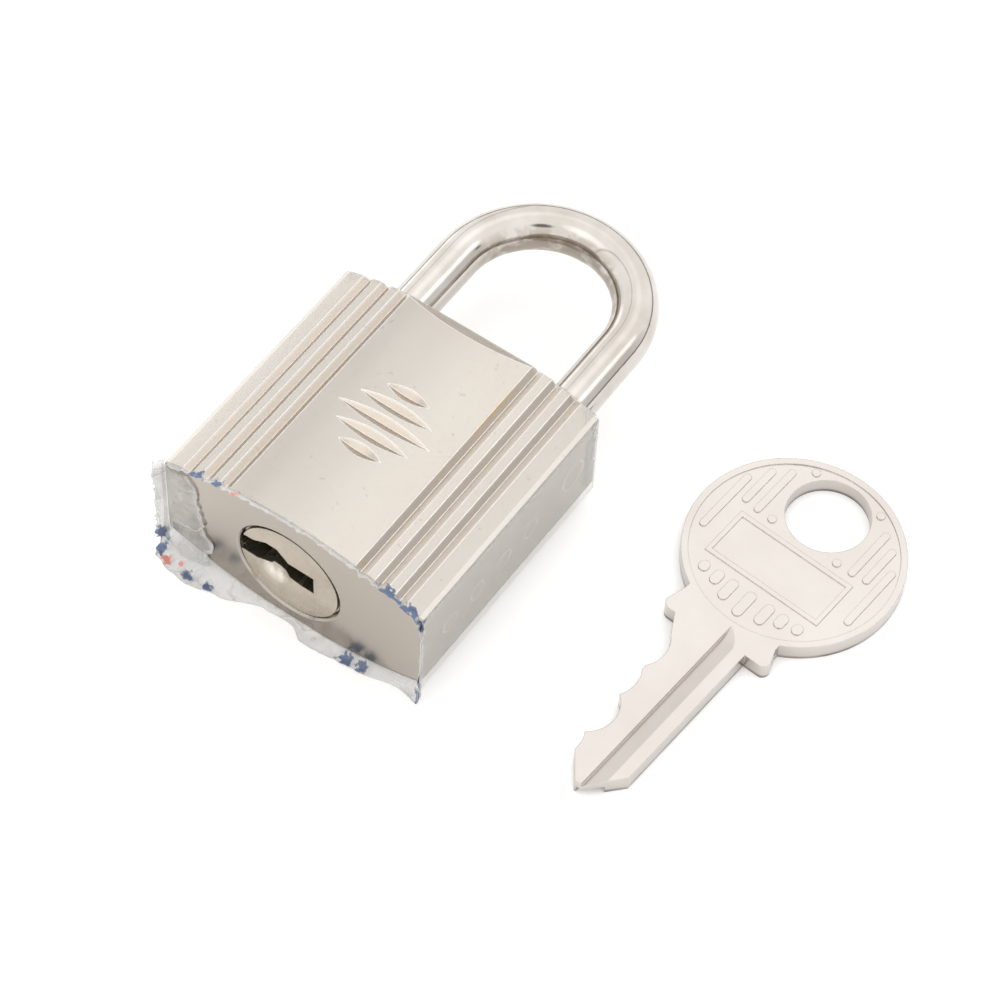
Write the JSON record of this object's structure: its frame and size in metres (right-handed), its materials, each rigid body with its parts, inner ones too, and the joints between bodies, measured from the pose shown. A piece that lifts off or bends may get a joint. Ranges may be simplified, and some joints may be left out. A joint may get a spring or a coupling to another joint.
{
  "type": "keyed padlock",
  "caption": "Small plated padlock with a domed rectangular case, round-wire shackle, keyed turning plug and its flat key lying beside it.",
  "frame": {"origin": "under the middle of the keyway end, on the surface that the flat along the back rests on", "axes": "+X across the case's width, +Y from the keyway end to the shackle, +Z out through the front face"},
  "size_m": [0.0625, 0.0557, 0.0162],
  "materials": {
    "plated_case": "polished pale plating over brass",
    "plated_plug": "turned, pale plating over brass",
    "polished_shackle": "mirror-polished steel",
    "plated_key": "satin plating over brass",
    "bare_brass": "turned, unplated",
    "steel": "ground",
    "spring_wire": "drawn wire",
    "clear_film": "clear protective film, torn at the keyway end"
  },
  "bodies": {
    "case": {"case_body": "plated_case", "protective_film": "clear_film", "plug_keeper_pin": "steel", "latch_bore_plug": "plated_case", "shackle_stop_pin": "plated_case", "heel_spring": "spring_wire", "chamber_plug_1": "plated_case", "chamber_plug_2": "plated_case", "chamber_plug_3": "plated_case", "chamber_plug_4": "plated_case", "pin_spring_1": "spring_wire", "pin_spring_2": "spring_wire", "pin_spring_3": "spring_wire", "pin_spring_4": "spring_wire"},
    "plug": {"plug": "plated_plug", "plug_cam": "bare_brass", "cam_screws": "steel"},
    "latch_heel": {"latch_heel": "steel"},
    "latch_toe": {"latch_toe": "steel"},
    "shackle": {"shackle": "polished_shackle"},
    "key": {"key": "plated_key"},
    "key_pin_1": {"key_pin_1": "bare_brass"},
    "driver_pin_1": {"driver_pin_1": "bare_brass"},
    "key_pin_2": {"key_pin_2": "bare_brass"},
    "driver_pin_2": {"driver_pin_2": "bare_brass"},
    "key_pin_3": {"key_pin_3": "bare_brass"},
    "driver_pin_3": {"driver_pin_3": "bare_brass"},
    "key_pin_4": {"key_pin_4": "bare_brass"},
    "driver_pin_4": {"driver_pin_4": "bare_brass"}
  },
  "joints": [
    {"name": "plug_turn", "type": "hinge", "parent": "case", "child": "plug", "pos_m": [-0.0005, 0, 0.0073], "axis": [0, 1, 0], "range_deg": [0, 90]},
    {"name": "shackle_lift", "type": "slide", "parent": "case", "child": "shackle", "axis": [0, 1, 0], "range_m": [0, 0.0099], "deforming": ["heel_spring"]},
    {"name": "latch_heel_slide", "type": "slide", "parent": "case", "child": "latch_heel", "axis": [1, 0, 0], "range_m": [0, 0.0034]},
    {"name": "latch_toe_slide", "type": "slide", "parent": "case", "child": "latch_toe", "axis": [-1, 0, 0], "range_m": [0, 0.0034]},
    {"name": "key_lift", "type": "slide", "parent": "case", "child": "key", "axis": [0, 0, 1], "range_m": [0, 0.03]},
    {"name": "key_pin_1_slide", "type": "slide", "parent": "plug", "child": "key_pin_1", "axis": [-1, 0, 0], "range_m": [0, 0.0008]},
    {"name": "key_pin_2_slide", "type": "slide", "parent": "plug", "child": "key_pin_2", "axis": [-1, 0, 0], "range_m": [0, 0.0008]},
    {"name": "key_pin_3_slide", "type": "slide", "parent": "plug", "child": "key_pin_3", "axis": [-1, 0, 0], "range_m": [0, 0.0008]},
    {"name": "key_pin_4_slide", "type": "slide", "parent": "plug", "child": "key_pin_4", "axis": [-1, 0, 0], "range_m": [0, 0.0008]},
    {"name": "driver_pin_1_slide", "type": "slide", "parent": "case", "child": "driver_pin_1", "axis": [1, 0, 0], "range_m": [0, 0.0014], "stiffness_N_per_m": 20, "springref_m": -0.001, "deforming": ["pin_spring_1"]},
    {"name": "driver_pin_2_slide", "type": "slide", "parent": "case", "child": "driver_pin_2", "axis": [1, 0, 0], "range_m": [0, 0.0014], "stiffness_N_per_m": 20, "springref_m": -0.001, "deforming": ["pin_spring_2"]},
    {"name": "driver_pin_3_slide", "type": "slide", "parent": "case", "child": "driver_pin_3", "axis": [1, 0, 0], "range_m": [0, 0.0014], "stiffness_N_per_m": 20, "springref_m": -0.001, "deforming": ["pin_spring_3"]},
    {"name": "driver_pin_4_slide", "type": "slide", "parent": "case", "child": "driver_pin_4", "axis": [1, 0, 0], "range_m": [0, 0.0014], "stiffness_N_per_m": 20, "springref_m": -0.001, "deforming": ["pin_spring_4"]}
  ],
  "couplings": [
    {"joint": "plug_turn", "follows": "shackle_lift", "rad_per_m": 158.66},
    {"joint": "latch_heel_slide", "follows": "shackle_lift", "ratio": 0.34343},
    {"joint": "latch_toe_slide", "follows": "shackle_lift", "ratio": 0.34343}
  ]
}
